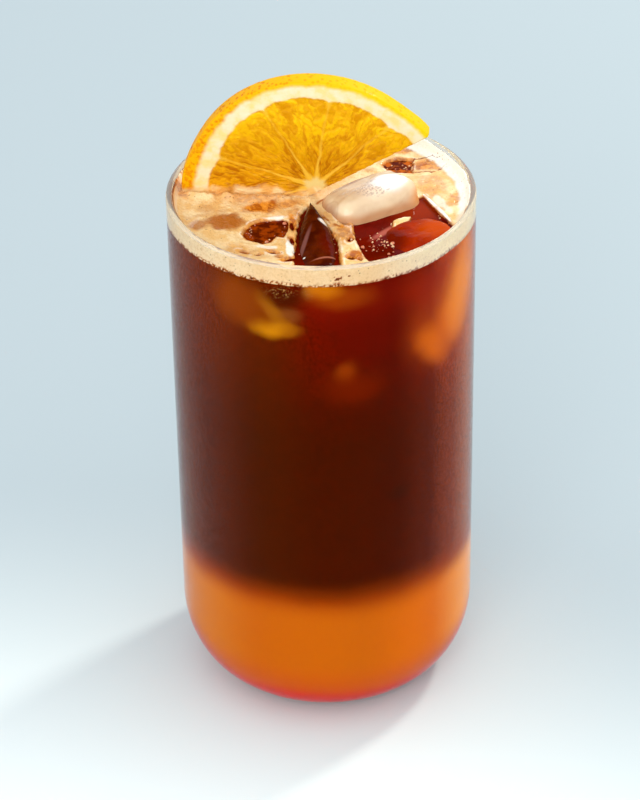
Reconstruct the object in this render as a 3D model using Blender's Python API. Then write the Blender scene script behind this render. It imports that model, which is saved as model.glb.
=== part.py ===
# Iced coffee on an orange juice layer, in a straight rounded tumbler,
# with a skin of foam, ice blocks and half an orange slice standing in it.
import math

import bmesh
import bpy
from mathutils import Matrix, Vector

# tumbler, metres
GLASS_HEIGHT = 0.145
RIM_RADIUS = 0.040
SHOULDER_RADIUS = 0.0395
CORNER_RUN = 0.017
CORNER_RISE = 0.022
WALL = 0.0017
FLOOR_THICKNESS = 0.0045
TURN_STEPS = 64

# contents
GAP = 0.0003
JUICE_TOP = 0.043
FOAM_BOTTOM = 0.1387
FOAM_TOP = 0.1415

# half slice of orange, standing and leaning a little to the front
SLICE_CENTRE = (-0.0015, 0.0020, 0.1450)
SLICE_RADIUS = 0.0325
SLICE_LEFT_FLARE = 0.0026
SLICE_RIGHT_FLARE = 0.0014
SLICE_THICKNESS = 0.0045
SLICE_CUT_DROP = 0.0020
SLICE_CUT_ANGLE = 33.0
SLICE_LEAN = 8.0
SLICE_TURN = -5.5
SLICE_EDGE = 0.0004
SLICE_ARC_STEPS = 48

# ice blocks: size, centre, tilt about x, tilt about y, turn about z, edge rounding
ICE = {
    "ice_middle": ((0.0270, 0.0175, 0.0220), (0.0130, -0.0022, 0.1378), (-12, -8, 28), 0.0032),
    "ice_front": ((0.0120, 0.0225, 0.0120), (-0.0015, -0.0190, 0.1378), (-12, 44, 8), 0.0020),
    "ice_left": ((0.0130, 0.0112, 0.0200), (-0.0154, -0.0145, 0.1318), (4, 3, 12), 0.0018),
    "ice_right": ((0.0240, 0.0145, 0.0220), (0.0215, -0.0150, 0.1312), (3, -4, 47), 0.0020),
    "ice_back": ((0.0158, 0.0100, 0.0200), (0.0212, 0.0188, 0.1322), (-3, 4, -12), 0.0018),
}
ICE_TAPER = 0.93
ICE_EDGE_STEPS = 3

# bare patches in the foam: centre x, centre y, half length, half width, turn
BARE_PATCHES = {
    "patch_right": (0.0205, -0.0150, 0.0150, 0.0090, 47),
    "patch_front": (-0.0015, -0.0205, 0.0105, 0.0052, 98),
}
PATCH_STEPS = 28


def clear_scene():
    """Empties the file of every object."""
    for item in list(bpy.data.objects):
        bpy.data.objects.remove(item, do_unlink=True)


def make_material(name, colour, roughness, transmission=0.0, ior=1.45):
    """Principled material of its own for one sub-part."""
    material = bpy.data.materials.new(name)
    material.use_nodes = True
    shader = material.node_tree.nodes["Principled BSDF"]
    shader.inputs["Base Color"].default_value = (*colour, 1.0)
    shader.inputs["Roughness"].default_value = roughness
    shader.inputs["Transmission Weight"].default_value = transmission
    shader.inputs["IOR"].default_value = ior
    return material


def add_object(name, mesh, material):
    """Puts a mesh into the scene as one named object."""
    item = bpy.data.objects.new(name, mesh)
    if material is not None:
        mesh.materials.append(material)
    bpy.context.scene.collection.objects.link(item)
    return item


def make_cutter(item):
    """Marks an object as a cutting body that isn't part of the drink."""
    item.hide_render = True
    item.display_type = "WIRE"
    return item


def outer_radius(height):
    """Radius of the tumbler's outside at a height."""
    if height >= CORNER_RISE:
        share = (height - CORNER_RISE) / (GLASS_HEIGHT - CORNER_RISE)
        return SHOULDER_RADIUS + (RIM_RADIUS - SHOULDER_RADIUS) * share
    sink = 1.0 - height / CORNER_RISE
    return SHOULDER_RADIUS - CORNER_RUN * (1.0 - math.sqrt(max(0.0, 1.0 - sink * sink)))


def inner_radius(height):
    """Radius of the hollow at a height, round in the bottom corner."""
    top_of_corner = CORNER_RISE
    if height >= top_of_corner:
        return outer_radius(height) - WALL
    depth = top_of_corner - FLOOR_THICKNESS
    sink = min(1.0, (top_of_corner - height) / depth)
    run = CORNER_RUN - 0.0010
    return SHOULDER_RADIUS - WALL - run * (1.0 - math.sqrt(max(0.0, 1.0 - sink * sink)))


def corner_heights(low, high, count):
    """Heights that sit closer together towards the low end of a rounded corner."""
    heights = []
    for index in range(count + 1):
        angle = 0.5 * math.pi * index / count
        heights.append(low + (high - low) * (1.0 - math.cos(angle)))
    return heights


def revolve(name, profile, material, smooth=False):
    """Turns a profile of radius and height pairs about the upright axis."""
    mesh = bpy.data.meshes.new(name)
    points = [(radius, 0.0, height) for radius, height in profile]
    edges = [(index, index + 1) for index in range(len(points) - 1)]
    mesh.from_pydata(points, edges, [])
    item = add_object(name, mesh, material)
    screw = item.modifiers.new("turn", "SCREW")
    screw.axis = "Z"
    screw.angle = 2.0 * math.pi
    screw.steps = TURN_STEPS
    screw.render_steps = TURN_STEPS
    screw.use_merge_vertices = True
    screw.merge_threshold = 0.00001
    screw.use_smooth_shade = smooth
    return item


def glass_profile():
    """Section of the tumbler: up the inside, over the round lip, down the outside."""
    lip = WALL / 2.0
    lip_centre = RIM_RADIUS - lip
    inside = [(0.0, FLOOR_THICKNESS)]
    for height in corner_heights(FLOOR_THICKNESS, CORNER_RISE, 9):
        inside.append((inner_radius(height), height))
    inside.append((inner_radius(0.080), 0.080))
    over = []
    for index in range(7):
        angle = math.pi * index / 6.0
        over.append((lip_centre - lip * math.cos(angle), GLASS_HEIGHT - lip + lip * math.sin(angle)))
    outside = [(outer_radius(0.080), 0.080)]
    for height in reversed(corner_heights(0.0, CORNER_RISE, 9)):
        outside.append((outer_radius(height), height))
    outside.append((0.0, 0.0))
    return inside + over + outside


def content_profile(low, high):
    """Section of a layer that fills the hollow between two heights, a gap off the wall."""
    profile = [(0.0, high)]
    floor = FLOOR_THICKNESS + GAP
    if low < CORNER_RISE:
        profile.append((inner_radius(high) - GAP, high))
        for height in reversed(corner_heights(FLOOR_THICKNESS, CORNER_RISE, 9)):
            profile.append((inner_radius(height) - GAP, max(height, floor)))
        profile.append((0.0, floor))
        return profile
    profile.append((inner_radius(high) - GAP, high))
    profile.append((inner_radius(low) - GAP, low))
    profile.append((0.0, low))
    return profile


def slice_radius(angle):
    """Radius of the slice at an angle in degrees, a little wider at both ends."""
    left = SLICE_LEFT_FLARE * math.exp(-(((angle - 188.0) / 22.0) ** 2))
    right = SLICE_RIGHT_FLARE * math.exp(-(((angle - 28.0) / 12.0) ** 2))
    return SLICE_RADIUS + left + right


def slice_outline(extra):
    """Outline of the half slice in its own plane, as sideways and upward pairs."""
    cut = math.radians(SLICE_CUT_ANGLE)
    drop = SLICE_CUT_DROP + extra
    start = cut - math.asin(drop / SLICE_RADIUS)
    end = cut + math.pi + math.asin(drop / SLICE_RADIUS)
    outline = []
    for index in range(SLICE_ARC_STEPS + 1):
        angle = start + (end - start) * index / SLICE_ARC_STEPS
        radius = slice_radius(math.degrees(angle)) + extra
        outline.append((radius * math.cos(angle), radius * math.sin(angle)))
    return outline


def slice_matrix():
    """Place of the slice: sideways, away from the front, up."""
    lean = Matrix.Rotation(math.radians(SLICE_LEAN), 4, "X")
    turn = Matrix.Rotation(math.radians(SLICE_TURN), 4, "Z")
    return Matrix.Translation(Vector(SLICE_CENTRE)) @ turn @ lean


def build_slice(name, extra, material):
    """Extrudes the half slice and rounds its edges; extra grows it on all sides."""
    body = bmesh.new()
    front = [body.verts.new((x, -extra, z)) for x, z in slice_outline(extra)]
    face = body.faces.new(front)
    pushed = bmesh.ops.extrude_face_region(body, geom=[face])
    moved = [part for part in pushed["geom"] if isinstance(part, bmesh.types.BMVert)]
    bmesh.ops.translate(body, verts=moved, vec=(0.0, SLICE_THICKNESS + 2.0 * extra, 0.0))
    bmesh.ops.recalc_face_normals(body, faces=body.faces)
    body.transform(slice_matrix())
    mesh = bpy.data.meshes.new(name)
    body.to_mesh(mesh)
    body.free()
    item = add_object(name, mesh, material)
    bevel = item.modifiers.new("edge", "BEVEL")
    bevel.width = SLICE_EDGE
    bevel.segments = 2
    bevel.limit_method = "ANGLE"
    bevel.angle_limit = math.radians(50.0)
    return item


def build_ice(name, key, extra, material):
    """Rounded, slightly tapered ice block; extra grows it on all sides."""
    size, centre, tilt, rounding = ICE[key]
    body = bmesh.new()
    bmesh.ops.create_cube(body, size=1.0)
    for vertex in body.verts:
        shrink = ICE_TAPER if vertex.co.z < 0.0 else 1.0
        vertex.co.x *= size[0] * shrink + 2.0 * extra
        vertex.co.y *= size[1] * shrink + 2.0 * extra
        vertex.co.z *= size[2] + 2.0 * extra
    bmesh.ops.bevel(
        body,
        geom=list(body.edges),
        offset=rounding + extra * 0.5,
        segments=ICE_EDGE_STEPS,
        profile=0.5,
        affect="EDGES",
    )
    pitch = Matrix.Rotation(math.radians(tilt[0]), 4, "X")
    roll = Matrix.Rotation(math.radians(tilt[1]), 4, "Y")
    yaw = Matrix.Rotation(math.radians(tilt[2]), 4, "Z")
    body.transform(Matrix.Translation(Vector(centre)) @ yaw @ pitch @ roll)
    bmesh.ops.recalc_face_normals(body, faces=body.faces)
    mesh = bpy.data.meshes.new(name)
    body.to_mesh(mesh)
    body.free()
    for polygon in mesh.polygons:
        polygon.use_smooth = True
    return add_object(name, mesh, material)


def build_patch(name, key):
    """Upright oval body that opens a bare patch in the foam."""
    x, y, half_length, half_width, turn = BARE_PATCHES[key]
    angle = math.radians(turn)
    body = bmesh.new()
    ring = []
    for index in range(PATCH_STEPS):
        step = 2.0 * math.pi * index / PATCH_STEPS
        along = half_length * math.cos(step)
        across = half_width * math.sin(step)
        px = x + along * math.cos(angle) - across * math.sin(angle)
        py = y + along * math.sin(angle) + across * math.cos(angle)
        ring.append(body.verts.new((px, py, FOAM_BOTTOM - 0.002)))
    face = body.faces.new(ring)
    pushed = bmesh.ops.extrude_face_region(body, geom=[face])
    moved = [part for part in pushed["geom"] if isinstance(part, bmesh.types.BMVert)]
    bmesh.ops.translate(body, verts=moved, vec=(0.0, 0.0, 0.008))
    bmesh.ops.recalc_face_normals(body, faces=body.faces)
    mesh = bpy.data.meshes.new(name)
    body.to_mesh(mesh)
    body.free()
    return make_cutter(add_object(name, mesh, None))


def cut_out(item, cutter):
    """Takes the room of a cutting body out of an object."""
    modifier = item.modifiers.new("room_" + cutter.name, "BOOLEAN")
    modifier.operation = "DIFFERENCE"
    modifier.solver = "EXACT"
    modifier.object = cutter


def build_drink():
    """Builds every sub-part and makes room in the contents for ice and slice."""
    glass_look = make_material("glass_look", (0.93, 0.97, 0.98), 0.05, 1.0, 1.5)
    juice_look = make_material("juice_look", (0.75, 0.17, 0.006), 0.35)
    coffee_look = make_material("coffee_look", (0.070, 0.009, 0.001), 0.15)
    foam_look = make_material("foam_look", (0.80, 0.55, 0.30), 0.6)
    orange_look = make_material("orange_look", (0.90, 0.36, 0.010), 0.45)
    ice_look = make_material("ice_look", (0.90, 0.88, 0.84), 0.12, 0.6, 1.31)

    revolve("glass", glass_profile(), glass_look, smooth=True)
    revolve("juice_layer", content_profile(FLOOR_THICKNESS, JUICE_TOP - GAP / 2.0), juice_look)
    coffee = revolve("coffee", content_profile(JUICE_TOP + GAP / 2.0, FOAM_BOTTOM - GAP / 2.0), coffee_look)
    foam = revolve("foam", content_profile(FOAM_BOTTOM + GAP / 2.0, FOAM_TOP), foam_look)

    build_slice("orange_slice", 0.0, orange_look)
    slice_room = make_cutter(build_slice("slice_room", GAP, None))
    cut_out(coffee, slice_room)
    cut_out(foam, slice_room)

    rooms = []
    for key in ICE:
        block = build_ice(key, key, 0.0, ice_look)
        room = make_cutter(build_ice("room_" + key, key, GAP, None))
        cut_out(block, slice_room)
        for earlier in rooms:
            cut_out(block, earlier)
        cut_out(coffee, room)
        cut_out(foam, room)
        rooms.append(room)
    for key in BARE_PATCHES:
        cut_out(foam, build_patch(key, key))


clear_scene()
build_drink()
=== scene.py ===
import math

import bmesh
import bpy
import numpy as np
from mathutils import Matrix


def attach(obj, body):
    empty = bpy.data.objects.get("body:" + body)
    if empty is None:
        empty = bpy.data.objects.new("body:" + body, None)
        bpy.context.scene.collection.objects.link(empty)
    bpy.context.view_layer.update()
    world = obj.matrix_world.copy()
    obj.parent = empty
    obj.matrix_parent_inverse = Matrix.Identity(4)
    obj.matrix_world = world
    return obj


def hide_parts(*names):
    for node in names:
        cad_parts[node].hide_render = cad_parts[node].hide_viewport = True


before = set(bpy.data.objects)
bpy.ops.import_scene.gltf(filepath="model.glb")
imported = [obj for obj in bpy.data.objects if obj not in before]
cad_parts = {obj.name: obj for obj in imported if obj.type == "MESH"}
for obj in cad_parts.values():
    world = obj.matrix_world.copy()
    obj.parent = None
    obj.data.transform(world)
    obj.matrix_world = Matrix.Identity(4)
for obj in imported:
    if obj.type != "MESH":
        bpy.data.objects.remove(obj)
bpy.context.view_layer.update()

mm = 0.001
print("frame loaded")


# Puts arrays of points, quads and triangles into one mesh object, with per-point values.
def putMesh(name, points, quads=None, triangles=None, values=None, smooth=True):
    mesh = bpy.data.meshes.new(name)
    loops, starts, count = [], [], 0
    for faces, sides in ((quads, 4), (triangles, 3)):
        if faces is None or len(faces) == 0:
            continue
        faces = np.asarray(faces, dtype=np.int32)
        loops.append(faces.ravel())
        starts.append(count + sides * np.arange(len(faces), dtype=np.int32))
        count += faces.size
    loops = np.concatenate(loops)
    starts = np.concatenate(starts)
    mesh.vertices.add(len(points))
    mesh.vertices.foreach_set("co", np.asarray(points, dtype=np.float32).ravel())
    mesh.loops.add(len(loops))
    mesh.loops.foreach_set("vertex_index", loops)
    mesh.polygons.add(len(starts))
    mesh.polygons.foreach_set("loop_start", starts)
    mesh.update(calc_edges=True)
    mesh.validate()
    for key, numbers in (values or {}).items():
        layer = mesh.attributes.new(key, "FLOAT", "POINT")
        layer.data.foreach_set("value", np.asarray(numbers, dtype=np.float32).ravel())
    mesh.polygons.foreach_set("use_smooth", np.full(len(starts), smooth))
    item = bpy.data.objects.new(name, mesh)
    bpy.context.scene.collection.objects.link(item)
    return item


# Quads of a grid of rows by columns, closed round the columns if asked; flip turns them over.
def gridQuads(rows, columns, around=False, flip=False, first=0):
    r = np.arange(rows - 1)[:, None]
    c = np.arange(columns if around else columns - 1)[None, :]
    n = (c + 1) % columns
    quads = np.stack([r * columns + c, r * columns + n, (r + 1) * columns + n, (r + 1) * columns + c], -1)
    quads = quads.reshape(-1, 4) + first
    return quads[:, ::-1] if flip else quads


# Quads between two closed loops of points, given by their indices.
def loopQuads(upper, lower):
    return np.stack([upper, lower, np.roll(lower, -1), np.roll(upper, -1)], -1)


# Quads and end triangles of rings closed round an axis; the two poles are the last points.
def ringFaces(rows, columns):
    k = np.arange(columns)
    n = (k + 1) % columns
    first, end, last = rows * columns, rows * columns + 1, (rows - 1) * columns
    caps = np.concatenate([
        np.stack([np.full(columns, first), n, k], -1),
        np.stack([np.full(columns, end), last + k, last + n], -1)])
    return gridQuads(rows, columns, around=True), caps


# Turns a profile of radius and height about the upright axis; ends on the axis become poles.
def lathe(name, radii, heights, steps):
    angle = np.linspace(0, 2 * np.pi, steps, endpoint=False)
    r, z = np.asarray(radii, float), np.asarray(heights, float)
    inner = r[1:-1, None]
    rings = np.stack([
        inner * np.cos(angle), inner * np.sin(angle), np.repeat(z[1:-1, None], steps, 1)], -1)
    points = np.concatenate([rings.reshape(-1, 3), [[0, 0, z[0]], [0, 0, z[-1]]]])
    return putMesh(name, points, *ringFaces(len(r) - 2, steps))


# Directions over a ball without its poles: sines and cosines of a latitude and a longitude.
def ballGrid(rows, columns):
    lat = np.linspace(-np.pi / 2, np.pi / 2, rows)[1:-1, None]
    lon = np.linspace(0, 2 * np.pi, columns, endpoint=False)[None, :]
    return np.cos(lat) * np.cos(lon), np.cos(lat) * np.sin(lon), np.sin(lat) + 0 * lon


# Square grid pressed into a disc so that the cells stay even, with no pole in the middle.
def discGrid(count, radius):
    a = np.linspace(-1, 1, count)
    u, v = np.meshgrid(a, a, indexing="ij")
    wide = np.abs(u) > np.abs(v)
    big = np.where(wide, u, v)
    with np.errstate(divide="ignore", invalid="ignore"):
        angle = np.where(wide, np.pi / 4 * (v / u), np.pi / 2 - np.pi / 4 * (u / v))
    angle = np.nan_to_num(angle)
    return radius * big * np.cos(angle), radius * big * np.sin(angle)


# Indices of the points along the border of such a disc, in order.
def discBorder(count):
    index = np.arange(count * count).reshape(count, count)
    return np.concatenate([index[0, :-1], index[:-1, -1], index[-1, :0:-1], index[:0:-1, 0]])


# Turns a closed piece's faces outwards, after joining points that share a place if asked.
def faceOutwards(item, joinWithin=None):
    body = bmesh.new()
    body.from_mesh(item.data)
    if joinWithin:
        bmesh.ops.remove_doubles(body, verts=body.verts, dist=joinWithin)
        bmesh.ops.dissolve_degenerate(body, edges=body.edges, dist=1e-7)
    bmesh.ops.recalc_face_normals(body, faces=body.faces)
    body.to_mesh(item.data)
    body.free()


# Smooth random field from a seeded lattice: blends the four nearest lattice numbers.
def softNoise(x, y, seed):
    size = 97
    table = np.random.default_rng(seed).random((size, size))
    xi, yi = np.floor(x).astype(int), np.floor(y).astype(int)
    fx, fy = x - xi, y - yi
    fx, fy = fx * fx * (3 - 2 * fx), fy * fy * (3 - 2 * fy)
    a, b = table[xi % size, yi % size], table[(xi + 1) % size, yi % size]
    c, d = table[xi % size, (yi + 1) % size], table[(xi + 1) % size, (yi + 1) % size]
    return (a * (1 - fx) + b * fx) * (1 - fy) + (c * (1 - fx) + d * fx) * fy


# Sum of soft noise at doubling detail, from minus one to one.
def layeredNoise(x, y, seed, octaves=4, fall=0.5):
    total, weight, reach = 0.0, 1.0, 0.0
    for step in range(octaves):
        finer = 2 ** step
        layer = softNoise(x * finer + 13.7 * step, y * finer + 7.1 * step, seed + step)
        total = total + weight * (2 * layer - 1)
        reach += weight
        weight *= fall
    return total / reach


# Cell pattern on a jittered lattice: distance to the cell's border, and one random number a cell.
def cellNoise(x, y, seed, jitter=0.85):
    size = 89
    rng = np.random.default_rng(seed)
    jx, jy, tone = rng.random((size, size)), rng.random((size, size)), rng.random((size, size))
    xi, yi = np.floor(x).astype(int), np.floor(y).astype(int)
    near, second = np.full(x.shape, 9.0), np.full(x.shape, 9.0)
    which = np.zeros(x.shape)
    for ox in (-1, 0, 1):
        for oy in (-1, 0, 1):
            cx, cy = xi + ox, yi + oy
            px = cx + 0.5 + jitter * (jx[cx % size, cy % size] - 0.5)
            py = cy + 0.5 + jitter * (jy[cx % size, cy % size] - 0.5)
            gap = np.hypot(x - px, y - py)
            closer = gap < near
            second = np.where(closer, near, np.minimum(second, gap))
            which = np.where(closer, tone[cx % size, cy % size], which)
            near = np.where(closer, gap, near)
    return second - near, which


# Smooth step from zero at low to one at high.
def rise(value, low, high):
    t = np.clip((value - low) / (high - low), 0, 1)
    return t * t * (3 - 2 * t)


# Bell curve of a value about a middle, one there, with its half width.
def bell(value, middle, width):
    return np.exp(-((value - middle) / width) ** 2)


# Signed distance to a polygon's outline in the plane, below zero inside it.
def polygonDistance(x, y, corners):
    best = np.full(x.shape, 1e9)
    inside = np.zeros(x.shape, bool)
    for (ax, ay), (bx, by) in zip(corners, corners[1:] + corners[:1]):
        ex, ey = bx - ax, by - ay
        t = np.clip(((x - ax) * ex + (y - ay) * ey) / (ex * ex + ey * ey), 0, 1)
        best = np.minimum(best, np.hypot(x - ax - t * ex, y - ay - t * ey))
        crosses = (ay > y) != (by > y)
        inside ^= crosses & (x < ax + (y - ay) * ex / (ey if ey else 1e-9))
    return np.where(inside, -best, best)


# Place in an oval's own directions, one at its edge: shifted, turned and divided by its half sizes.
def ovalPlace(x, y, cx, cy, halfLength, halfWidth, turn):
    a = math.radians(turn)
    u = ((x - cx) * math.cos(a) + (y - cy) * math.sin(a)) / halfLength
    v = (-(x - cx) * math.sin(a) + (y - cy) * math.cos(a)) / halfWidth
    return u, v


# Linear colour from the numbers that a colour picker shows, 0 to 255.
def colour(red, green, blue):
    c = np.array([red, green, blue]) / 255
    c = np.where(c <= 0.04045, c / 12.92, ((c + 0.055) / 1.055) ** 2.4)
    return (*c.tolist(), 1.0)


# A node of a kind, with its settings and plain input values.
def addNode(tree, kind, values=None, **settings):
    item = tree.nodes.new("ShaderNode" + kind)
    for key, value in settings.items():
        setattr(item, key, value)
    for key, value in (values or {}).items():
        item.inputs[key].default_value = value
    return item


# Gives an input either a link from a socket or a plain value.
def feed(tree, source, target):
    if isinstance(source, bpy.types.NodeSocket):
        tree.links.new(source, target)
    else:
        target.default_value = source


# A new material with its one Principled shader and the plain values on it.
def newMaterial(name, **values):
    material = bpy.data.materials.new(name)
    material.use_nodes = True
    shader = material.node_tree.nodes["Principled BSDF"]
    for key, value in values.items():
        shader.inputs[key.replace("_", " ")].default_value = value
    return material, material.node_tree, shader


# Mixes two colours by a factor; each may be a socket or a plain colour.
def mixColours(tree, factor, first, second, blend="MIX"):
    mix = addNode(tree, "Mix", data_type="RGBA", blend_type=blend)
    feed(tree, factor, mix.inputs[0])
    feed(tree, first, mix.inputs[6])
    feed(tree, second, mix.inputs[7])
    return mix.outputs[2]


# Remaps a socket from one span to another, smoothly.
def remap(tree, source, low, high, start=0.0, end=1.0):
    node = addNode(tree, "MapRange", {1: low, 2: high, 3: start, 4: end}, interpolation_type="SMOOTHSTEP")
    feed(tree, source, node.inputs[0])
    return node.outputs[0]


# The same for a place, with its span in millimetres.
def remapPlace(tree, source, low, high, start=0.0, end=1.0):
    return remap(tree, source, low * mm, high * mm, start, end)


# Sum, product and so on of two sockets or numbers.
def maths(tree, operation, first, second):
    node = addNode(tree, "Math", operation=operation)
    feed(tree, first, node.inputs[0])
    feed(tree, second, node.inputs[1])
    return node.outputs[0]


# Product of two sockets or numbers.
def times(tree, first, second):
    return maths(tree, "MULTIPLY", first, second)


# The object's own coordinates, whole and as their three parts.
def objectPlace(tree):
    place = addNode(tree, "TexCoord").outputs["Object"]
    split = addNode(tree, "SeparateXYZ")
    feed(tree, place, split.inputs[0])
    return place, *split.outputs


# Noise on the object's coordinates with a feature size in millimetres.
def grain(tree, place, size, detail=3.0, roughness=0.5, distortion=0.0, output="Fac"):
    noise = addNode(tree, "TexNoise", {
        "Scale": 1.0 / (size * mm), "Detail": detail, "Roughness": roughness, "Distortion": distortion})
    feed(tree, place, noise.inputs["Vector"])
    return noise.outputs[output]


# Two colours in blotches of a size, where the noise passes from low to high.
def mottled(tree, place, size, low, high, first, second, detail=3.0, roughness=0.5, distortion=0.0):
    blotches = grain(tree, place, size, detail, roughness, distortion)
    return mixColours(tree, remap(tree, blotches, low, high), first, second)


# Distance to the nearest of scattered points, with a spacing in millimetres.
def scattered(tree, place, size, feature="F1"):
    cells = addNode(tree, "TexVoronoi", {"Scale": 1.0 / (size * mm), "Randomness": 1.0}, feature=feature)
    feed(tree, place, cells.inputs["Vector"])
    return cells.outputs["Distance"]


# Bump from a height socket, with its depth in millimetres.
def bumpOn(tree, shader, height, depth, strength=1.0):
    bump = addNode(tree, "Bump", {"Strength": strength, "Distance": depth * mm})
    feed(tree, height, bump.inputs["Height"])
    feed(tree, bump.outputs[0], shader.inputs["Normal"])


# A value stored on the mesh's points.
def stored(tree, key):
    return addNode(tree, "Attribute", attribute_name=key).outputs["Fac"]


# Factor of a soft oval patch about a centre: one inside, falling to zero at its edge.
def patchFactor(tree, place, centre, size, turn=0.0, tilt=0.0, soft=0.85):
    mapping = addNode(tree, "Mapping", vector_type="TEXTURE")
    mapping.inputs["Location"].default_value = [c * mm for c in centre]
    mapping.inputs["Rotation"].default_value = (0.0, math.radians(tilt), math.radians(turn))
    mapping.inputs["Scale"].default_value = [s * mm for s in size]
    feed(tree, place, mapping.inputs[0])
    length = addNode(tree, "VectorMath", operation="LENGTH")
    feed(tree, mapping.outputs[0], length.inputs[0])
    return remap(tree, length.outputs["Value"], 1.0 - soft, 1.0, 1.0, 0.0)


# Gives a piece its material, its body and the nodes that it stands for; the slot name is not used.
def dress(item, material, slotName, *nodes):
    item.data.materials.append(material)
    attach(item, "root")
    if nodes:
        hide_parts(*nodes)


# lengths in millimetres; the juice reaches further out in the thick foot
tumbler = {
    "height": 145.0, "rimRadius": 40.0, "shoulderRadius": 39.5,
    "cornerRun": 17.0, "cornerRise": 22.0, "wall": 1.7, "floor": 4.5, "innerCornerRun": 16.0,
    "around": 224, "reach": 0.1, "footReach": 2.6,
    "clear": 0.02, "misted": 0.03, "mistTop": 138.0, "mistFade": 4.0, "rimRough": 0.12, "index": 1.17,
    "haze": 0.06, "hazeRough": 0.35, "gloss": (0.02, 0.02, 0.02, 1),
    "footTint": colour(230, 54, 7), "lipGleam": colour(240, 233, 220), "lipClear": 0.72,
}


# Outer radius by height: straight taper above, a quarter oval below.
def outerRadius(z):
    t = tumbler
    share = (z - t["cornerRise"]) / (t["height"] - t["cornerRise"])
    straight = t["shoulderRadius"] + (t["rimRadius"] - t["shoulderRadius"]) * share
    sink = np.clip(1 - z / t["cornerRise"], 0, 1)
    corner = t["shoulderRadius"] - t["cornerRun"] * (1 - np.sqrt(1 - sink ** 2))
    return np.where(z >= t["cornerRise"], straight, corner)


# Inner radius by height: a wall less above, a smaller quarter oval down to the glass floor.
def innerRadius(z):
    t = tumbler
    sink = np.clip((t["cornerRise"] - z) / (t["cornerRise"] - t["floor"]), 0, 1)
    low = t["shoulderRadius"] - t["wall"] - t["innerCornerRun"] * (1 - np.sqrt(1 - sink ** 2))
    return np.where(z >= t["cornerRise"], outerRadius(z) - t["wall"], low)


# Heights from low to high that crowd towards the low end, as round a corner.
def crowded(low, high, count):
    return low + (high - low) * (1 - np.cos(np.linspace(0, np.pi / 2, count)))


# Glass with a misted outside: a fine grain of droplets that fades out towards the clear rim.
def mistedGlass():
    t = tumbler
    material, tree, shader = newMaterial(
        "mistedGlass", Base_Color=(1, 1, 1, 1), Transmission_Weight=1.0, IOR=t["index"],
        Specular_Tint=t["gloss"], Sheen_Weight=t["haze"], Sheen_Roughness=t["hazeRough"])
    place, _, _, z = objectPlace(tree)
    top = t["height"]
    mist = remapPlace(tree, z, t["mistTop"], t["mistTop"] + t["mistFade"], 1.0, 0.0)
    rim = remapPlace(tree, z, top - 2.2, top - 1.4, 0.0, t["rimRough"])
    rough = maths(tree, "ADD", maths(tree, "MAXIMUM", times(tree, mist, t["misted"]), rim), t["clear"])
    feed(tree, rough, shader.inputs["Roughness"])
    # the juice colours the light in the thick foot
    tint = mixColours(tree, remapPlace(tree, z, 1.5, 7.5), t["footTint"], (1, 1, 1, 1))
    grazing = addNode(tree, "LayerWeight", {"Blend": 0.5}).outputs["Facing"]
    edge = times(tree, remap(tree, grazing, 0.62, 0.86), remapPlace(tree, z, 14.0, 26.0, 1.0, 0.0))
    tint = mixColours(tree, edge, tint, t["footTint"])
    # a pale diffuse line at the lip: a painted stand-in for the rim's bright reflection
    lip = remapPlace(tree, z, top - 0.85, top - 0.45)
    feed(tree, mixColours(tree, lip, tint, t["lipGleam"]), shader.inputs["Base Color"])
    feed(tree, remap(tree, lip, 0.0, 1.0, 1.0, t["lipClear"]), shader.inputs["Transmission Weight"])
    bumpOn(tree, shader, times(tree, grain(tree, place, 0.8, 2.0), mist), 0.22, 0.5)
    return material


# The profile runs from the foot's centre up the outside, over the lip and down to the floor's centre.
def buildGlass():
    t = tumbler
    lip = t["wall"] / 2
    arc = np.linspace(0, np.pi, 17)
    wallUp = np.linspace(t["cornerRise"], t["height"] - lip, 46)[1:-1]
    inside = crowded(t["floor"], t["cornerRise"], 30)
    outside = crowded(0.0, t["cornerRise"], 34)
    radii = np.concatenate([
        [0, 8, 16], outerRadius(outside), outerRadius(wallUp),
        t["rimRadius"] - lip + lip * np.cos(arc),
        innerRadius(wallUp[::-1]), innerRadius(inside[::-1]), [14, 7, 0]])
    heights = np.concatenate([
        [0, 0, 0], outside, wallUp, t["height"] - lip + lip * np.sin(arc),
        wallUp[::-1], inside[::-1], [t["floor"]] * 3])
    glass = lathe("glassShell", radii * mm, heights * mm, t["around"])
    dress(glass, mistedGlass(), "glass_look", "glass")
    print("tumbler made")


# heights and places in millimetres
drink = {
    "boundary": 43.0, "blur": 7.5, "seam": 0.03, "coffeeTop": 140.4, "underFoam": 137.4,
    "juice": colour(198, 96, 7), "juiceLeft": colour(212, 116, 24), "juiceRight": colour(226, 108, 5),
    "juiceBacklitGlow": colour(255, 158, 60), "juiceLow": colour(216, 82, 3), "juiceRed": colour(214, 20, 0),
    "blend": colour(166, 62, 2), "behindLow": colour(84, 26, 4), "behindHigh": colour(116, 40, 4),
    "deepest": 88.0, "palest": 136.0, "beadSize": 0.6, "beadTones": (0.70, 1.30),
    # coffee across the glass: place from left to right, low colour, high colour; the paler left edge is
    # painted haze and the oranger right edge painted backlit glow with haze
    "across": [
        (-38.0, colour(104, 42, 14), colour(108, 42, 9)),
        (-29.0, colour(82, 26, 4), colour(108, 36, 3)),
        (-17.0, colour(69, 18, 0), colour(94, 26, 0)),
        (0.0, colour(66, 13, 0), colour(104, 11, 0)),
        (17.0, colour(68, 12, 0), colour(98, 5, 0)),
        (26.0, colour(86, 22, 2), colour(124, 20, 0)),
        (32.0, colour(124, 44, 13), colour(174, 55, 2)),
        (38.0, colour(166, 82, 44), colour(208, 92, 12)),
    ],
    # how far noise bends the glows, and the bright specks under the foam
    "bend": 5.0, "bendSize": 11.0, "speckSize": 0.5, "speck": colour(196, 150, 84),
    "specksAt": ((-10.8, -38.0, 136.4), (5.5, 6.0, 2.2), -14, -10, 0.7),
}

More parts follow.
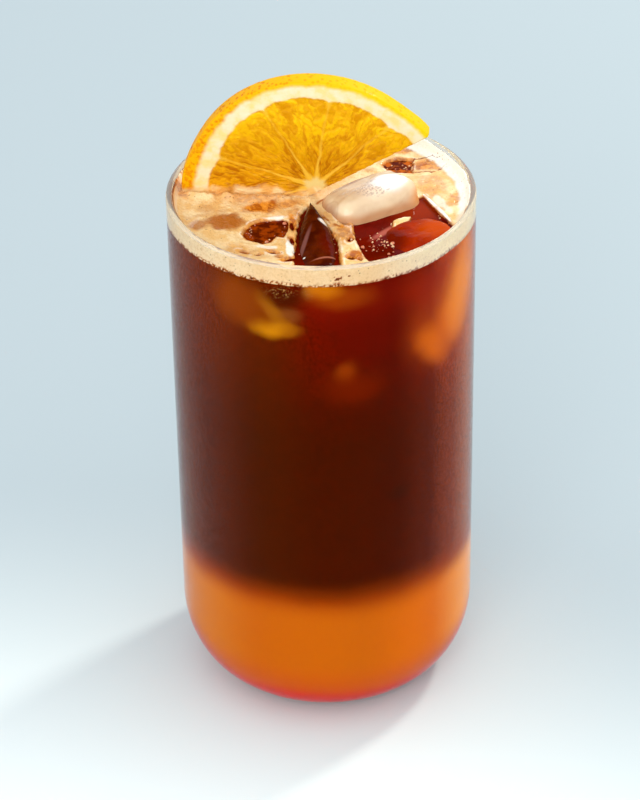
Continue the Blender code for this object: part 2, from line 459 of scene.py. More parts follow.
# glows of sunk ice and fruit near the wall, then dark places: centre, size, turn, tilt, colour, strength
glows = [
    ((-21.0, -32.0, 131.0), (12.0, 8.0, 9.0), -30, 20, colour(150, 66, 2), 0.85),
    ((-13.0, -36.0, 125.8), (8.5, 7.0, 4.2), -18, -6, colour(222, 142, 6), 1.0),
    ((-18.0, -34.0, 130.0), (15.0, 9.0, 8.5), -20, 12, colour(126, 50, 2), 0.7),
    ((-13.5, -36.5, 131.0), (6.5, 7.0, 3.0), -18, 48, colour(168, 100, 12), 0.7),
    ((-8.5, -38.0, 125.6), (5.0, 7.0, 3.2), -8, -12, colour(160, 88, 8), 0.5),
    ((-8.6, -38.0, 130.6), (5.0, 7.0, 3.4), -8, 10, colour(150, 88, 34), 0.45),
    ((-2.8, -38.5, 136.4), (3.6, 6.0, 2.6), 0, 0, colour(214, 150, 62), 0.6),
    ((9.0, -37.5, 133.0), (24.0, 10.0, 9.0), 12, 0, colour(118, 14, 1), 0.8),
    ((4.0, -38.5, 135.4), (13.0, 8.0, 4.6), 6, 4, colour(152, 58, 3), 0.85),
    ((0.5, -38.5, 137.2), (7.0, 6.0, 3.0), 2, 0, colour(200, 110, 8), 0.8),
    ((5.8, -38.4, 113.4), (4.6, 6.0, 5.0), 8, 25, colour(150, 56, 2), 0.75),
    ((8.0, -37.5, 108.5), (13.0, 8.0, 7.0), 12, 0, colour(118, 26, 0), 0.6),
    ((29.5, -25.5, 118.0), (17.0, 12.0, 15.0), 48, 40, colour(170, 60, 3), 0.8),
    ((27.6, -26.2, 114.0), (10.5, 9.0, 7.0), 46, 44, colour(224, 104, 8), 0.85),
    ((31.0, -22.0, 118.6), (10.0, 9.0, 6.5), 52, 52, colour(222, 98, 6), 0.8),
    ((32.5, -20.5, 121.0), (15.0, 10.0, 8.0), 55, 58, colour(222, 106, 12), 0.85),
    ((26.0, -29.0, 131.0), (13.0, 9.0, 9.0), 44, 30, colour(154, 32, 1), 0.6),
    ((35.0, -16.0, 126.0), (11.0, 10.0, 19.0), 66, 14, colour(246, 136, 22), 0.95),
    ((12.0, -37.5, 124.0), (17.0, 8.0, 12.0), 15, 0, colour(98, 7, 0), 0.7),
    ((24.0, 30.0, 120.0), (15.0, 9.0, 10.0), 130, 10, colour(190, 90, 6), 0.75),
    ((-6.0, 38.0, 126.0), (15.0, 8.0, 7.0), 190, -12, colour(160, 84, 5), 0.65),
    ((-34.0, 18.0, 114.0), (12.0, 9.0, 9.0), 240, 20, colour(150, 62, 3), 0.65),
    ((4.0, 38.0, 112.0), (17.0, 8.0, 12.0), 175, 8, colour(112, 28, 1), 0.6),
    ((-9.5, -37.5, 135.0), (8.5, 6.0, 4.4), -13, -6, colour(70, 18, 1), 0.9),
    ((19.5, -34.0, 73.6), (6.5, 6.0, 3.2), 30, -8, colour(48, 8, 0), 0.6),
    ((20.0, 33.0, 134.0), (6.0, 6.0, 4.0), 150, 0, colour(60, 12, 2), 0.80),
]


# Coffee colour by place across, from the front to the back, and by height, with fine beads of mist; the paler
# left edge and the oranger right edge are painted haze and backlit glow.
def coffeeColour(tree, place, x, y, height):
    d = drink
    before, low, high = d["across"][0]
    for placeAcross, lowNext, highNext in d["across"][1:]:
        step = remapPlace(tree, x, before, placeAcross)
        low, high = mixColours(tree, step, low, lowNext), mixColours(tree, step, high, highNext)
        before = placeAcross
    lift = remapPlace(tree, height, d["deepest"], d["palest"])
    brown = mixColours(tree, lift, low, high)
    behind = mixColours(tree, lift, d["behindLow"], d["behindHigh"])
    brown = mixColours(tree, remapPlace(tree, y, -14.0, 2.0), brown, behind)
    beads = remap(tree, grain(tree, place, d["beadSize"], 2.0), 0.35, 0.65, *d["beadTones"])
    grey = addNode(tree, "CombineXYZ")
    for socket in grey.inputs:
        feed(tree, beads, socket)
    return mixColours(tree, 1.0, brown, grey.outputs[0], "MULTIPLY")


# Juice colour by place across and by height, red in the foot, with a painted backlit glow at the right edge.
def juiceColour(tree, x, height):
    d = drink
    orange = mixColours(tree, remapPlace(tree, x, -34.0, -18.0), d["juiceLeft"], d["juice"])
    orange = mixColours(tree, remapPlace(tree, x, 8.0, 28.0), orange, d["juiceRight"])
    # painted backlit glow towards the right edge
    orange = mixColours(tree, remapPlace(tree, x, 27.0, 38.0), orange, d["juiceBacklitGlow"])
    orange = mixColours(tree, remapPlace(tree, height, 8.0, 22.0, 0.75, 0.0), orange, d["juiceLow"])
    return mixColours(tree, remapPlace(tree, height, 5.5, 11.5, 1.0, 0.0), orange, d["juiceRed"])


# Colour of the drink: juice, a blurred boundary, coffee, and the glows in it, bent by noise.
def drinkColour(tree):
    place, x, y, z = objectPlace(tree)
    d = drink
    waver = times(tree, maths(tree, "SUBTRACT", grain(tree, place, 30.0, 2.0), 0.5), 4.0 * mm)
    height = maths(tree, "ADD", z, waver)
    edge, half = d["boundary"], d["blur"]
    below = remapPlace(tree, height, edge - 1.15 * half, edge + 0.1 * half)
    above = remapPlace(tree, height, edge - 0.75 * half, edge + 0.8 * half)
    shade = mixColours(tree, below, juiceColour(tree, x, height), d["blend"])
    shade = mixColours(tree, above, shade, coffeeColour(tree, place, x, y, height))
    bent = addNode(tree, "VectorMath", {1: [d["bend"] * mm] * 3}, operation="MULTIPLY_ADD")
    feed(tree, grain(tree, place, d["bendSize"], 2.0, output="Color"), bent.inputs[0])
    feed(tree, place, bent.inputs[2])
    shifted = addNode(tree, "VectorMath", {1: [d["bend"] / 2 * mm] * 3}, operation="SUBTRACT")
    feed(tree, bent.outputs[0], shifted.inputs[0])
    for centre, size, turn, tilt, tint, strength in glows:
        factor = patchFactor(tree, shifted.outputs[0], centre, size, turn, tilt)
        shade = mixColours(tree, times(tree, factor, strength), shade, tint)
    specks = remap(tree, grain(tree, place, d["speckSize"], 2.0), 0.55, 0.62)
    specks = times(tree, specks, patchFactor(tree, place, *d["specksAt"]))
    return mixColours(tree, times(tree, specks, 0.6), shade, d["speck"])


# Finish of a liquid: the drink's colour by place, without gloss, which the glass before it gives.
def liquid(name, roughness):
    material, tree, shader = newMaterial(name, Roughness=roughness, Specular_IOR_Level=0.0)
    feed(tree, drinkColour(tree), shader.inputs["Base Color"])
    return material


# Juice from inside the thick foot to the boundary; a close last ring keeps its shading even.
def buildJuice():
    t, d = tumbler, drink
    low, top = t["floor"] - t["footReach"], d["boundary"]
    rising = crowded(low, t["cornerRise"], 28)
    straight = np.append(np.linspace(t["cornerRise"], top, 14)[1:-1], [top - d["seam"], top])
    inner = innerRadius(np.maximum(rising, t["floor"]))
    deeper = (outerRadius(rising) - inner - 1.0).clip(0) * (1 - rise(rising, 2.5, 12.0))
    radii = np.concatenate([
        [0, 7, 14], inner + t["reach"] + deeper, innerRadius(straight) + t["reach"], [20, 0]])
    heights = np.concatenate([[low] * 3, rising, straight, [top] * 2])
    juice = lathe("juiceFill", radii * mm, heights * mm, t["around"])
    dress(juice, liquid("cloudyJuice", 0.5), "juice_look", "juice_layer")


# Coffee with a tapered top edge that tucks in behind the foam.
def buildCoffee():
    t, d = tumbler, drink
    low, high, top = d["boundary"], d["underFoam"], d["coffeeTop"]
    straight = np.insert(np.linspace(low, high, 60), 1, low + d["seam"])
    tuck = np.linspace(0, np.pi / 2, 7)[1:]
    edge = innerRadius(np.array(high)) + t["reach"]
    tuckRun, faceSteps = 0.9, 24
    radii = np.concatenate([
        [0, 20], innerRadius(straight) + t["reach"], edge - tuckRun ** 2 * (1 - np.cos(tuck)),
        np.linspace(edge - tuckRun, 4, faceSteps)[1:], [0]])
    heights = np.concatenate([
        [low] * 2, straight, high + (top - high) * np.sin(tuck), np.full(faceSteps, top)])
    coffee = lathe("coffeeFill", radii * mm, heights * mm, t["around"])
    dress(coffee, liquid("darkCoffee", 0.4), "coffee_look", "coffee")


# The wet face of the coffee between foam and ice: dark red, brown behind and at the left, with a painted
# orange glow and a painted pink reflection streak.
def openCoffee():
    material, tree, shader = newMaterial("openCoffee", Roughness=0.07, Specular_IOR_Level=0.025)
    place, *_ = objectPlace(tree)
    z = drink["coffeeTop"]
    surface = mottled(tree, place, 6.0, 0.35, 0.65, colour(86, 4, 0), colour(104, 8, 1))
    amber = mottled(tree, place, 2.2, 0.40, 0.62, colour(86, 18, 1), colour(150, 56, 4))
    toffee = mottled(tree, place, 2.0, 0.42, 0.60, colour(86, 20, 1), colour(190, 92, 18))
    # place, half sizes, turn, softness and colour of each patch
    for x, y, halfLength, halfWidth, turn, soft, tint in (
            # the first patch is a painted glow of light through the ice, the second a painted reflection
            # streak
            (26.0, -4.0, 14.0, 9.0, 60, 0.90, colour(140, 38, 3)),
            (16.2, -14.6, 7.6, 1.5, 48, 0.75, colour(168, 84, 70)),
            (-14.0, -14.5, 8.0, 8.0, 0, 0.4, amber),
            (20.5, 18.5, 8.0, 8.0, 0, 0.4, toffee)):
        patch = patchFactor(tree, place, (x, y, z), (halfLength, halfWidth, 9.0), turn, 0, soft)
        surface = mixColours(tree, patch, surface, tint)
    feed(tree, surface, shader.inputs["Base Color"])
    bumpOn(tree, shader, grain(tree, place, 7.0, 1.5), 0.6, 0.5)
    return material


# A thin round body whose top is waved by soft noise.
def buildOpenCoffee():
    count, level = 120, drink["coffeeTop"]
    x, y = discGrid(count, 37.6)
    z = level + 0.12 + 0.10 * layeredNoise(x / 5.0, y / 5.0, 201, 2)
    top = np.stack([x, y, z], -1).reshape(-1, 3)
    low = np.stack([x, y, z * 0 + level - 0.5], -1).reshape(-1, 3)
    border = discBorder(count)
    below = len(top)
    quads = np.concatenate([
        gridQuads(count, count), gridQuads(count, count, flip=True, first=below),
        loopQuads(border, border + below)])
    face = putMesh("coffeeFace", np.concatenate([top, low]) * mm, quads)
    faceOutwards(face)
    dress(face, openCoffee(), "coffee_look")
    print("juice and coffee made")


foamShape = {
    "top": 141.6, "sink": 139.4, "lowEdge": 138.1, "grid": 280, "sideRows": 16,
    "swell": 0.42, "fine": 0.12, "pits": 0.16, "film": 2.2, "heap": 0.7, "sideDrop": 1.8,
    "slopeFrom": 0.35, "slope": 0.096, "slopeHeap": 1.7,
}

# bare places in the foam, as outlines in millimetres seen from above
bareOutlines = {
    "right": [
        (26.4, 3.3), (23.7, 0.2), (22.5, 0.6), (18.5, -2.5), (13.5, -5.4), (8.0, -8.6), (8.2, -16.9),
        (9.4, -23.0), (11.6, -30.1), (19.5, -27.6), (24.7, -24.0), (29.9, -19.1), (33.5, -12.6),
        (29.9, -4.7)],
    "front": [
        (-3.1, -1.2), (-1.1, -5.2), (0.6, -10.5), (2.6, -14.6), (3.8, -20.3), (4.7, -32.3),
        (-7.3, -32.9), (-6.7, -22.4), (-6.3, -12.8), (-5.2, -5.6)],
    "left": [
        (-20.0, -15.9), (-19.3, -12.4), (-17.8, -10.1), (-15.2, -8.6), (-9.8, -8.1), (-8.3, -9.1),
        (-8.6, -13.8), (-9.8, -17.3), (-11.6, -16.7), (-13.1, -19.7), (-15.1, -20.4), (-18.7, -18.5)],
    "back": [
        (16.2, 19.7), (17.5, 21.6), (19.9, 22.9), (24.4, 22.2), (23.7, 18.4), (24.2, 15.1), (18.1, 15.3)],
}
strip = [
    (2.0, -5.3), (3.2, -11.1), (4.1, -20.3), (4.7, -31.8),
    (11.6, -30.1), (9.4, -23.0), (8.2, -16.9), (6.0, -7.5)]
islet = [(18.3, -9.8), (20.9, -7.8), (22.9, -7.9), (22.3, -10.5), (20.5, -13.5), (18.9, -14.6), (17.9, -12.9)]
backPane = [(24.4, 22.2), (29.4, 22.3), (32.0, 20.4), (32.6, 17.5), (30.0, 14.9), (24.2, 15.1)]

# small holes: x, y, half length, half width, turn
holes = [
    (5.3, -9.7, 1.8, 0.6, -62), (7.3, -18.9, 0.8, 1.3, -10), (7.4, -28.4, 1.1, 0.9, 0),
    (9.5, -29.4, 0.5, 0.5, 0), (-19.6, -24.6, 1.3, 0.5, -24), (-16.0, -26.0, 0.7, 0.5, 20),
    (-12.4, -24.9, 1.0, 0.45, -30), (-10.8, -27.2, 0.5, 0.4, 0), (-7.6, -11.5, 0.6, 2.4, 5),
    (-7.6, -19.0, 0.5, 1.8, 8), (-8.0, -28.5, 1.6, 0.8, 20), (4.6, -34.2, 1.1, 0.6, 10),
    (7.6, -33.6, 0.9, 0.4, 12),
]

# thin foam where coffee shows through: x, y, half length, half width, turn, strength
stains = [
    (-25.0, -10.0, 9.0, 5.0, 8, 0.72), (-31.4, -11.2, 4.6, 3.2, 35, 0.60), (-26.0, -4.6, 5.0, 1.8, 10, 0.35),
    (4.5, -24.0, 2.2, 6.0, -12, 0.35), (31.2, 8.5, 5.0, 1.6, -70, 0.30), (22.0, 10.5, 6.0, 2.4, 15, 0.25),
    (26.2, 18.6, 2.4, 3.0, 0, 0.66), (-10.0, 20.0, 9.0, 4.0, 30, 0.6), (6.0, 27.0, 8.0, 3.0, -15, 0.6),
    (-24.0, 16.0, 6.0, 4.0, 60, 0.55), (-21.0, -22.5, 7.0, 1.3, -22, 0.2), (-29.6, -3.0, 5.0, 3.5, 20, 0.4),
]
# the same, amber: thin foam over fruit and ice, partly painted orange light from the slice, with a painted
# orange reflection near the slice's tip
ambers = [
    (-15.5, -2.9, 5.2, 3.0, 8, 1.0), (-8.5, -1.2, 4.0, 1.6, 14, 0.6), (-18.0, 0.9, 9.0, 2.2, -4, 0.5),
    (-36.0, 6.0, 1.8, 5.0, 14, 0.6), (35.0, 0.9, 2.0, 3.4, -20, 0.65), (26.6, 9.1, 1.8, 1.4, 0, 0.45),
    (-8.4, -28.8, 2.6, 1.8, 20, 0.9), (6.4, -13.0, 2.4, 8.0, -8, 0.65), (8.0, -28.0, 2.8, 2.6, 0, 0.95),
    (-7.4, -10.0, 1.3, 5.6, 4, 0.9), (-5.9, -7.0, 1.4, 5.0, 10, 0.6), (12.0, 24.0, 6.0, 2.0, 20, 0.5),
    (28.4, 18.6, 4.8, 3.4, -8, 0.75), (24.0, 27.0, 7.0, 1.8, 12, 0.8), (29.5, 6.0, 4.5, 9.0, -14, 0.38),
    (-19.0, -24.0, 9.0, 3.0, -24, 0.25),
]
# bright wet froth, partly painted glints by the windows and painted sunlight at the back right
frothsAndGlints = [
    (-8.3, -22.0, 1.3, 4.6, 2, 1.0), (-14.0, -22.4, 4.2, 1.3, -10, 0.6), (-12.0, -7.4, 3.6, 0.9, 6, 0.7),
    (-34.5, -13.0, 1.5, 8.0, -30, 0.35), (5.0, 1.5, 7.0, 1.6, 24, 0.3), (31.0, -1.5, 1.6, 7.5, 22, 0.5),
]


# Strongest of soft ovals broken up by noise, each from its strength inside to zero outside.
def ovals(x, y, facts, rough, seed, full=0.55):
    tone = np.zeros(x.shape)
    ragged = rough * layeredNoise(x / 3.2, y / 3.2, seed, 4)
    for *oval, strength in facts:
        u, v = ovalPlace(x, y, *oval)
        tone = np.maximum(tone, strength * (1 - rise(np.hypot(u, v) + ragged, full, 1.15)))
    return tone


# Distance to the nearest bare place, below zero inside it; islets stand in them, holes add to them.
def bareDistance(x, y):
    waver = 0.42 * layeredNoise(x / 1.9, y / 1.9, 31, 3)
    bare = np.full(x.shape, 9.0)
    for outline in bareOutlines.values():
        bare = np.minimum(bare, polygonDistance(x, y, outline) + waver)
    bare = np.maximum(bare, -polygonDistance(x, y, islet) - waver)
    for hole in holes:
        u, v = ovalPlace(x, y, *hole)
        bare = np.minimum(bare, (np.hypot(u, v) - 1) * min(hole[2:4]) + 0.4 * waver)
    return bare


# Height of the foam: swells, bubbles and pits, climbing at the wall, dipping under the coffee where bare.
def foamHeight(x, y):
    f = foamShape
    r = np.hypot(x, y)
    bare = bareDistance(x, y)
    height = f["top"] + f["swell"] * layeredNoise(x / 7.0, y / 7.0, 11, 3)
    height = height + f["fine"] * layeredNoise(x, y, 21, 3)
    border, tone = cellNoise(x / 1.25, y / 1.25, 23)
    height = height - f["pits"] * (tone > 0.72) * rise(border, 0.15, 0.5)
    angle = np.arctan2(y, x)
    sunny = rise(np.cos(angle - math.radians(22)), 0.45, 0.85)
    uneven = softNoise(angle * 9, r * 0, 5) - 0.5
    climb = f["film"] * rise(r, 37.3, 38.35) + f["heap"] * rise(r, 35.4, 38.0) * (1 + 0.5 * sunny)
    height = height + climb * (0.92 + 0.18 * uneven)
    thin = drink["coffeeTop"] + 0.42
    height = thin + (height - thin) * (0.25 + 0.75 * rise(bare, 0.3, 3.6))
    height = height + 0.22 * bell(bare, 0.75, 0.45)
    inStrip = rise(-polygonDistance(x, y, strip), -0.6, 0.8)
    height = height + inStrip * (0.35 + 0.45 * layeredNoise(x / 2.4, y / 2.4, 37, 2))
    # foam heaped against the foot of the slice
    line = f["slopeFrom"] - f["slope"] * (x + 1.5)
    heap = bell(y, line, 1.5) * rise(-x, -1.0, 6.0) * (1 - rise(r, 34.5, 36.8))
    height = height + f["slopeHeap"] * heap * (0.55 + 0.9 * layeredNoise(x / 3.4, y * 0 + 3, 39, 3))
    height = f["sink"] + (height - f["sink"]) * rise(bare, -0.7, 0.30)
    return height, bare


# Tones of the foam: brown stain, amber stain with painted orange light, and bright froth with painted
# sunlight and glints, by place and by the distance to bare coffee.
def foamTones(x, y, bare):
    # noise of a feature size and seed, as a smooth step between two of its levels
    def broken(size, seed, octaves, low, high):
        return rise(layeredNoise(x / size, y / size, seed, octaves), low, high)

    r, angle = np.hypot(x, y), np.degrees(np.arctan2(y, x))
    stain = ovals(x, y, stains, 0.38, 41, 0.35)
    stain = np.maximum(stain, 0.40 * rise(layeredNoise(x / 6, y / 4, 51, 4), 0.0, 0.55))
    stain = np.maximum(stain, 0.95 * (1 - rise(bare, -0.15, 0.28)))
    pane = polygonDistance(x, y, backPane) + 0.3 * layeredNoise(x / 1.5, y / 1.5, 55, 3)
    stain = np.maximum(stain, 0.95 * bell(pane, 0.0, 0.32) * broken(2.0, 57, 3, -0.35, 0.1))
    amber = ovals(x, y, ambers, 0.5, 43, 0.5)
    # a dark line where the foam meets the pale block, with an amber fringe
    u, v = ovalPlace(x, y, 12.0, -1.6, 12.6, 8.1, 30)
    square = iceBlocks["iceMiddle"]["square"][0]
    gap = (np.abs(u) ** square + np.abs(v) ** square) ** (1 / square) - 1
    near = bell(gap + 0.03 * layeredNoise(x / 2.0, y / 2.0, 58, 3), 0.03, 0.05)
    stain = np.maximum(stain, 0.80 * near * broken(3.0, 59, 2, -0.5, 0.1))
    amber = np.maximum(amber, 0.5 * bell(gap, 0.12, 0.12) * broken(3.0, 60, 2, -0.2, 0.4))
    amber = np.maximum(amber, 0.75 * (1 - rise(bare, 0.25, 1.0)) * broken(4.0, 45, 2, -0.3, 0.3))
    frothAndPaintedLight = ovals(x, y, frothsAndGlints, 0.5, 47)
    frothAndPaintedLight = np.maximum(frothAndPaintedLight, 0.5 * bell(bare, 0.85, 0.4) * broken(2.6, 49, 3, -0.2, 0.3))
    # painted sunlight on the foam near the wall at the back right
    sunny = rise(angle, -32, 0) * (1 - rise(angle, 62, 80))
    frothAndPaintedLight = np.maximum(frothAndPaintedLight, sunny * rise(r + 0.7 * layeredNoise(x / 3.0, y / 3.0, 61, 3), 34.6, 36.6))
    frothAndPaintedLight = np.maximum(frothAndPaintedLight, 0.45 * rise(r, 36.4, 37.6))
    # a dark line where the foam meets the wall: partly a seam of coffee, partly painted shade under the rim,
    # fainter on the painted sunlit side
    seam = rise(layeredNoise(angle / 3.0, r * 0 + 4, 63, 4), -0.45, 0.1)
    seam = seam * rise(r, 37.75, 38.15) * (1 - 0.8 * sunny)
    stain = np.maximum(stain, 0.88 * seam)
    return {"stain": stain, "amber": amber, "frothAndPaintedLight": frothAndPaintedLight * (1 - 0.8 * seam)}


# Cream foam with its stains, froth with painted sunlight and glints, and specks; a paler band of its own
# where it lies against the glass, brighter at the right with painted sunlight.
def foamMaterial():
    material, tree, shader = newMaterial("creamFoam", Specular_IOR_Level=0.4)
    place, x, _, _ = objectPlace(tree)
    stain, amber, frothAndPaintedLight = stored(tree, "stain"), stored(tree, "amber"), stored(tree, "frothAndPaintedLight")
    base = mottled(tree, place, 4.2, 0.36, 0.62, colour(244, 214, 162), colour(234, 187, 118), 4.0, 0.6)
    band = mixColours(
        tree, remapPlace(tree, x, -34.0, -14.0), colour(243, 217, 177), colour(235, 197, 149))
    # the band brightens towards the right: painted sunlight
    band = mixColours(tree, remapPlace(tree, x, 14.0, 34.0), band, colour(255, 230, 174))
    dots = remap(tree, grain(tree, place, 0.7, 3.0, 0.7), 0.46, 0.64, 0.0, 0.4)
    band = mixColours(tree, dots, band, colour(204, 156, 104))
    caramel = mottled(tree, place, 1.6, 0.4, 0.6, colour(176, 88, 8), colour(232, 148, 44))
    base = mixColours(tree, times(tree, stored(tree, "band"), 0.75), base, band)
    base = mixColours(tree, remap(tree, stain, 0.15, 0.80), base, colour(170, 90, 22))
    base = mixColours(tree, amber, base, caramel)
    # bright froth with its painted sunlight and glints
    base = mixColours(tree, remap(tree, frothAndPaintedLight, 0.15, 0.85), base, colour(255, 249, 236))
    base = mixColours(tree, remap(tree, stain, 0.76, 0.95), base, colour(96, 36, 5))
    speck = remap(tree, scattered(tree, place, 1.0), 0.08, 0.26, 1.0, 0.0)
    rare = remap(tree, grain(tree, place, 3.0), 0.50, 0.62)
    base = mixColours(tree, times(tree, times(tree, speck, rare), 0.8), base, colour(120, 66, 24))
    feed(tree, base, shader.inputs["Base Color"])
    wet = remap(tree, maths(tree, "ADD", amber, stain), 0.1, 0.9, 0.5, 0.12)
    feed(tree, wet, shader.inputs["Roughness"])
    bubbles = maths(tree, "ADD", scattered(tree, place, 0.6, "SMOOTH_F1"), grain(tree, place, 0.4, 2.0))
    bumpOn(tree, shader, bubbles, 0.22, 0.6)
    return material


# Stain on the foam's side: a stippled lower fringe, faint speckles and two dark spots at the front.
def sideStain(angle, height, share):
    wallRadius = 38
    ragged = 0.98 * rise(layeredNoise(angle * 92, height * 4.2, 73, 2), -0.45, 0.25)
    fringe = share + 0.10 * layeredNoise(angle * 15, angle * 0 + 9, 79, 3)
    speckle = 0.35 * rise(layeredNoise(angle * 30, height * 2.4, 71, 4), 0.2, 0.6)
    spot = bell((angle + 1.475) * wallRadius, 0, 1.3) * bell(height, 141.0, 0.7)
    spot = spot + 0.7 * bell((angle + 1.40) * wallRadius, 0, 1.1) * bell(height, 141.6, 0.4)
    spot = rise(spot + 0.5 * layeredNoise(angle * 60, height * 2.6, 75, 2), 0.45, 0.8)
    return np.maximum(ragged * rise(fringe, 0.64, 0.90), np.maximum(speckle, spot))


# Closed disc of foam: relief on top, a side wall against the glass, a flat underside.
def buildFoam():
    f, t = foamShape, tumbler
    n, rows = f["grid"], f["sideRows"]
    x, y = discGrid(n, float(innerRadius(np.array(141.0))) + t["reach"])
    z, bare = foamHeight(x, y)
    tones = foamTones(x, y, bare)
    top = np.stack([x, y, z], -1).reshape(-1, 3)
    border = discBorder(n)
    count = len(border)
    rim = top[border]
    angle = np.arctan2(rim[:, 1], rim[:, 0])
    low = f["lowEdge"] + 0.12 * layeredNoise(angle * 40, angle * 0 + 3, 61, 4)
    low = low - f["sideDrop"] * (bell(angle, 0, 0.28) + bell(np.abs(angle), np.pi, 0.28))
    walls, wallStain, quads, previous = [], [], [gridQuads(n, n)], border
    for k in range(1, rows):
        share = k / (rows - 1)
        height = rim[:, 2] + (low - rim[:, 2]) * share
        tuck = 0.4 * rise(np.full(height.shape, share), 0.86, 1.0)
        radius = innerRadius(height) + t["reach"] + 0.05 - tuck
        walls.append(np.stack([radius * np.cos(angle), radius * np.sin(angle), height], -1))
        wallStain.append(sideStain(angle, height, share))
        current = n * n + (k - 1) * count + np.arange(count)
        quads.append(loopQuads(previous, current))
        previous = current
    points = np.concatenate([top] + walls + [[[0, 0, f["lowEdge"]]]])
    sides = np.concatenate(wallStain + [[0.5]])
    # painted sunlight on the side band, strongest at the right
    sunny = np.tile(0.14 + 0.26 * rise(np.cos(angle + math.radians(25)), 0.55, 0.95), rows - 1)
    values = {
        "stain": np.concatenate([tones["stain"].ravel(), sides]),
        "amber": np.concatenate([tones["amber"].ravel(), sides * 0]),
        "frothAndPaintedLight": np.concatenate([tones["frothAndPaintedLight"].ravel(), sunny, [0]]),
        "band": np.concatenate([bare.ravel() * 0, sides * 0 + 1])}
    hub = len(points) - 1
    fan = np.stack([np.full(count, hub), np.roll(previous, -1), previous], -1)
    foam = putMesh("foamSkin", points * mm, np.concatenate(quads), fan, values)
    faceOutwards(foam)
    dress(foam, foamMaterial(), "foam_look", "foam")
    print("foam made")


# Round bubbles by centre and radius in millimetres, all in one mesh.
def bubbleMesh(name, centres, radii, rows=7, columns=12):
    ball = np.stack(ballGrid(rows, columns), -1).reshape(-1, 3)
    ball = np.concatenate([ball, [[0, 0, -1.0], [0, 0, 1.0]]])
    quads, caps = ringFaces(rows - 2, columns)
    points = ball[None] * np.asarray(radii)[:, None, None] + np.asarray(centres)[:, None]
    shift = (np.arange(len(centres)) * len(ball))[:, None, None]
    return putMesh(
        name, points.reshape(-1, 3) * mm, (quads[None] + shift).reshape(-1, 4),
        (caps[None] + shift).reshape(-1, 3))


# number along the edges, radii, share and size of large ones; place, spread and number of each cluster
bubbles = {
    "alongEdges": 64, "seed": 77, "radius": (0.12, 0.30), "largeShare": 0.14, "large": 2.1,
    "clusters": [
        ((15.5, -21.0), (2.6, 3.0), 60), ((-0.5, -27.0), (3.0, 2.0), 14),
        ((-18.4, -14.5), (0.6, 1.6), 10), ((19.5, 18.5), (2.0, 2.0), 16)],
}


# Bubbles along the torn edges of the foam and in clusters on the coffee.
def buildBubbles():
    b = bubbles
    rng = np.random.default_rng(b["seed"])
    spots = rng.uniform(-35.5, 35.5, (9000, 2))
    bare = bareDistance(spots[:, 0], spots[:, 1])
    chosen = spots[(bare > -1.3) & (bare < -0.15) & (np.hypot(*spots.T) < 35)][:b["alongEdges"]]
    clusters = [rng.normal(place, spread, (number, 2)) for place, spread, number in b["clusters"]]
    spots = np.concatenate([chosen] + clusters)
    spots = spots[bareDistance(spots[:, 0], spots[:, 1]) < -0.1]
    radii = rng.uniform(*b["radius"], len(spots))
    radii = radii * np.where(rng.random(len(spots)) > 1 - b["largeShare"], b["large"], 1.0)
    level = drink["coffeeTop"] + 0.12
    item = bubbleMesh("surfaceBubbles", np.column_stack([spots, np.full(len(spots), level)]), radii)
    material, tree, shader = newMaterial("bubbleFilm", Roughness=0.1, Specular_IOR_Level=0.5)
    place, _, _, z = objectPlace(tree)
    shade = mixColours(tree, remapPlace(tree, z, level, level + 0.3), colour(96, 22, 8), colour(206, 118, 84))
    shade = mottled(tree, place, 3.0, 0.55, 0.66, shade, colour(240, 196, 150), 1.0)
    feed(tree, shade, shader.inputs["Base Color"])
    dress(item, material, "foam_look")
    print("bubbles made")


# centre, half sizes, squareness, turns about x, y, z, uneven melt
iceBlocks = {
    "iceMiddle": {
        "centre": (12.9, -0.5, 138.5), "half": (12.3, 8.0, 8.1), "square": (3.9, 4.0),
        "turn": (-16, -6, 30), "melt": 0.35, "seed": 3, "node": "ice_middle"},
    "iceLeft": {
        "centre": (-14.2, -14.2, 131.2), "half": (6.0, 5.2, 9.2), "square": (4.0, 5.0),
        "turn": (4, 3, 12), "melt": 0.4, "seed": 11, "node": "ice_left"},
    "iceRight": {
        "centre": (25.0, -17.0, 131.4), "half": (10.3, 9.4, 10.5), "square": (2.4, 5.0),
        "turn": (2, -3, 30), "melt": 0.25, "seed": 17, "node": "ice_right"},
    "iceBack": {
        "centre": (21.6, 18.6, 131.4), "half": (7.2, 4.6, 9.2), "square": (4.0, 4.0),
        "turn": (-3, 4, -12), "melt": 0.4, "seed": 23, "node": "ice_back"},
}

# the dark wedge of ice in front: both ends of its spine, half width, heights
wedge = {
    "front": (-1.0, -32.6), "back": (-2.9, -2.2), "halfWidth": 6.2, "low": 127.4, "middle": 136.0,
    "crest": 143.6, "nose": 141.6, "tip": 140.6, "lean": 0.12, "rows": 90, "columns": 96,
}


blockRows, blockColumns = 72, 112


# Rotation by turns about y, then x, then z, in degrees.
def turned(turns):
    x, y, z = (math.radians(a) for a in turns)
    turn = Matrix.Rotation(z, 3, "Z") @ Matrix.Rotation(x, 3, "X") @ Matrix.Rotation(y, 3, "Y")
    return np.array(turn)


# Rounded block: a sphere's directions pushed out to a box by powers, then worn by soft noise.
def iceForm(facts):
    x, y, z = ballGrid(blockRows, blockColumns)
    e1, e2 = facts["square"]
    flat = (np.abs(x) ** e1 + np.abs(y) ** e1) ** (1 / e1)
    length = (flat ** e2 + np.abs(z) ** e2) ** (1 / e2)
    form = np.stack([x, y, z], -1) / length[..., None]
    form = np.concatenate([form.reshape(-1, 3), [[0, 0, -1.0], [0, 0, 1.0]]])
    a, b, c = (form * 2.6).T
    seed = facts["seed"]
    wear = layeredNoise(a + 5, b + c * 0.7, seed, 3) + layeredNoise(b + 9, c - a * 0.6, seed + 5, 3)
    form = form * np.array(facts["half"])
    unit = form / np.linalg.norm(form, axis=1)[:, None]
    form = form + unit * (facts["melt"] * (wear - 0.4))[:, None]
    return form @ turned(facts["turn"]).T + np.array(facts["centre"])


